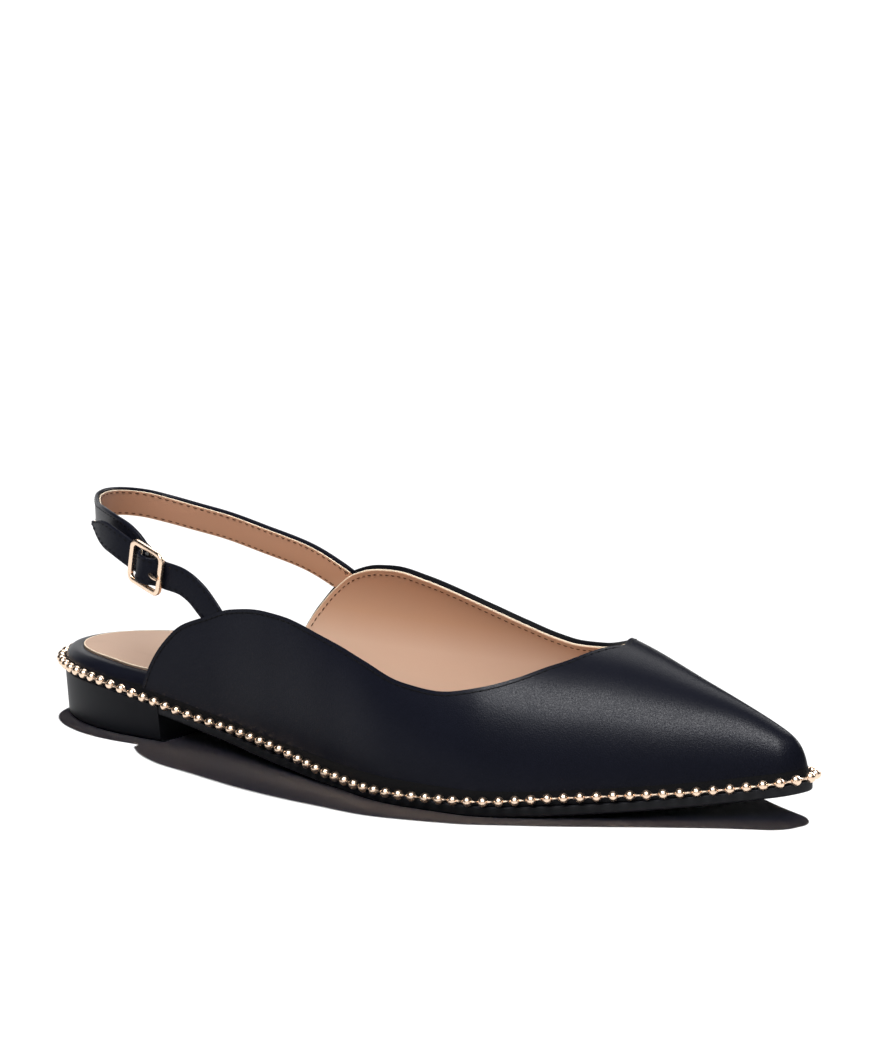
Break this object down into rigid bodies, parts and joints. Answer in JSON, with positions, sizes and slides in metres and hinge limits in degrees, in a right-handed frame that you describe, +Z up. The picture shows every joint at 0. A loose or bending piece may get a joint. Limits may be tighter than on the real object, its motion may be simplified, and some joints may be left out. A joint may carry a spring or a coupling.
{
  "type": "pointed flat shoe",
  "caption": "Right pointed slingback flat with a scalloped top line, buckled heel strap, low block heel and a bead chain along the seam.",
  "frame": {"origin": "on the floor, under the middle of the shoe's bounding box", "axes": "+X to the toe, +Y to the inner (medial) side, +Z up from the floor"},
  "size_m": [0.2684, 0.0836, 0.066],
  "materials": {
    "black_leather": "satin smooth leather",
    "sock_leather": "matt beige lining leather",
    "black_sole": "matt black sole",
    "gold_metal": "polished pale rose gold plating"
  },
  "bodies": {
    "root": {"outsole": "black_sole", "heel_block": "black_sole", "footbed": "black_leather", "sock": "sock_leather", "upper": "black_leather", "heel_strap": "black_leather", "buckle_strap": "black_leather", "buckle_frame": "gold_metal", "buckle_pin": "gold_metal", "bead_chain": "gold_metal"}
  },
  "joints": []
}
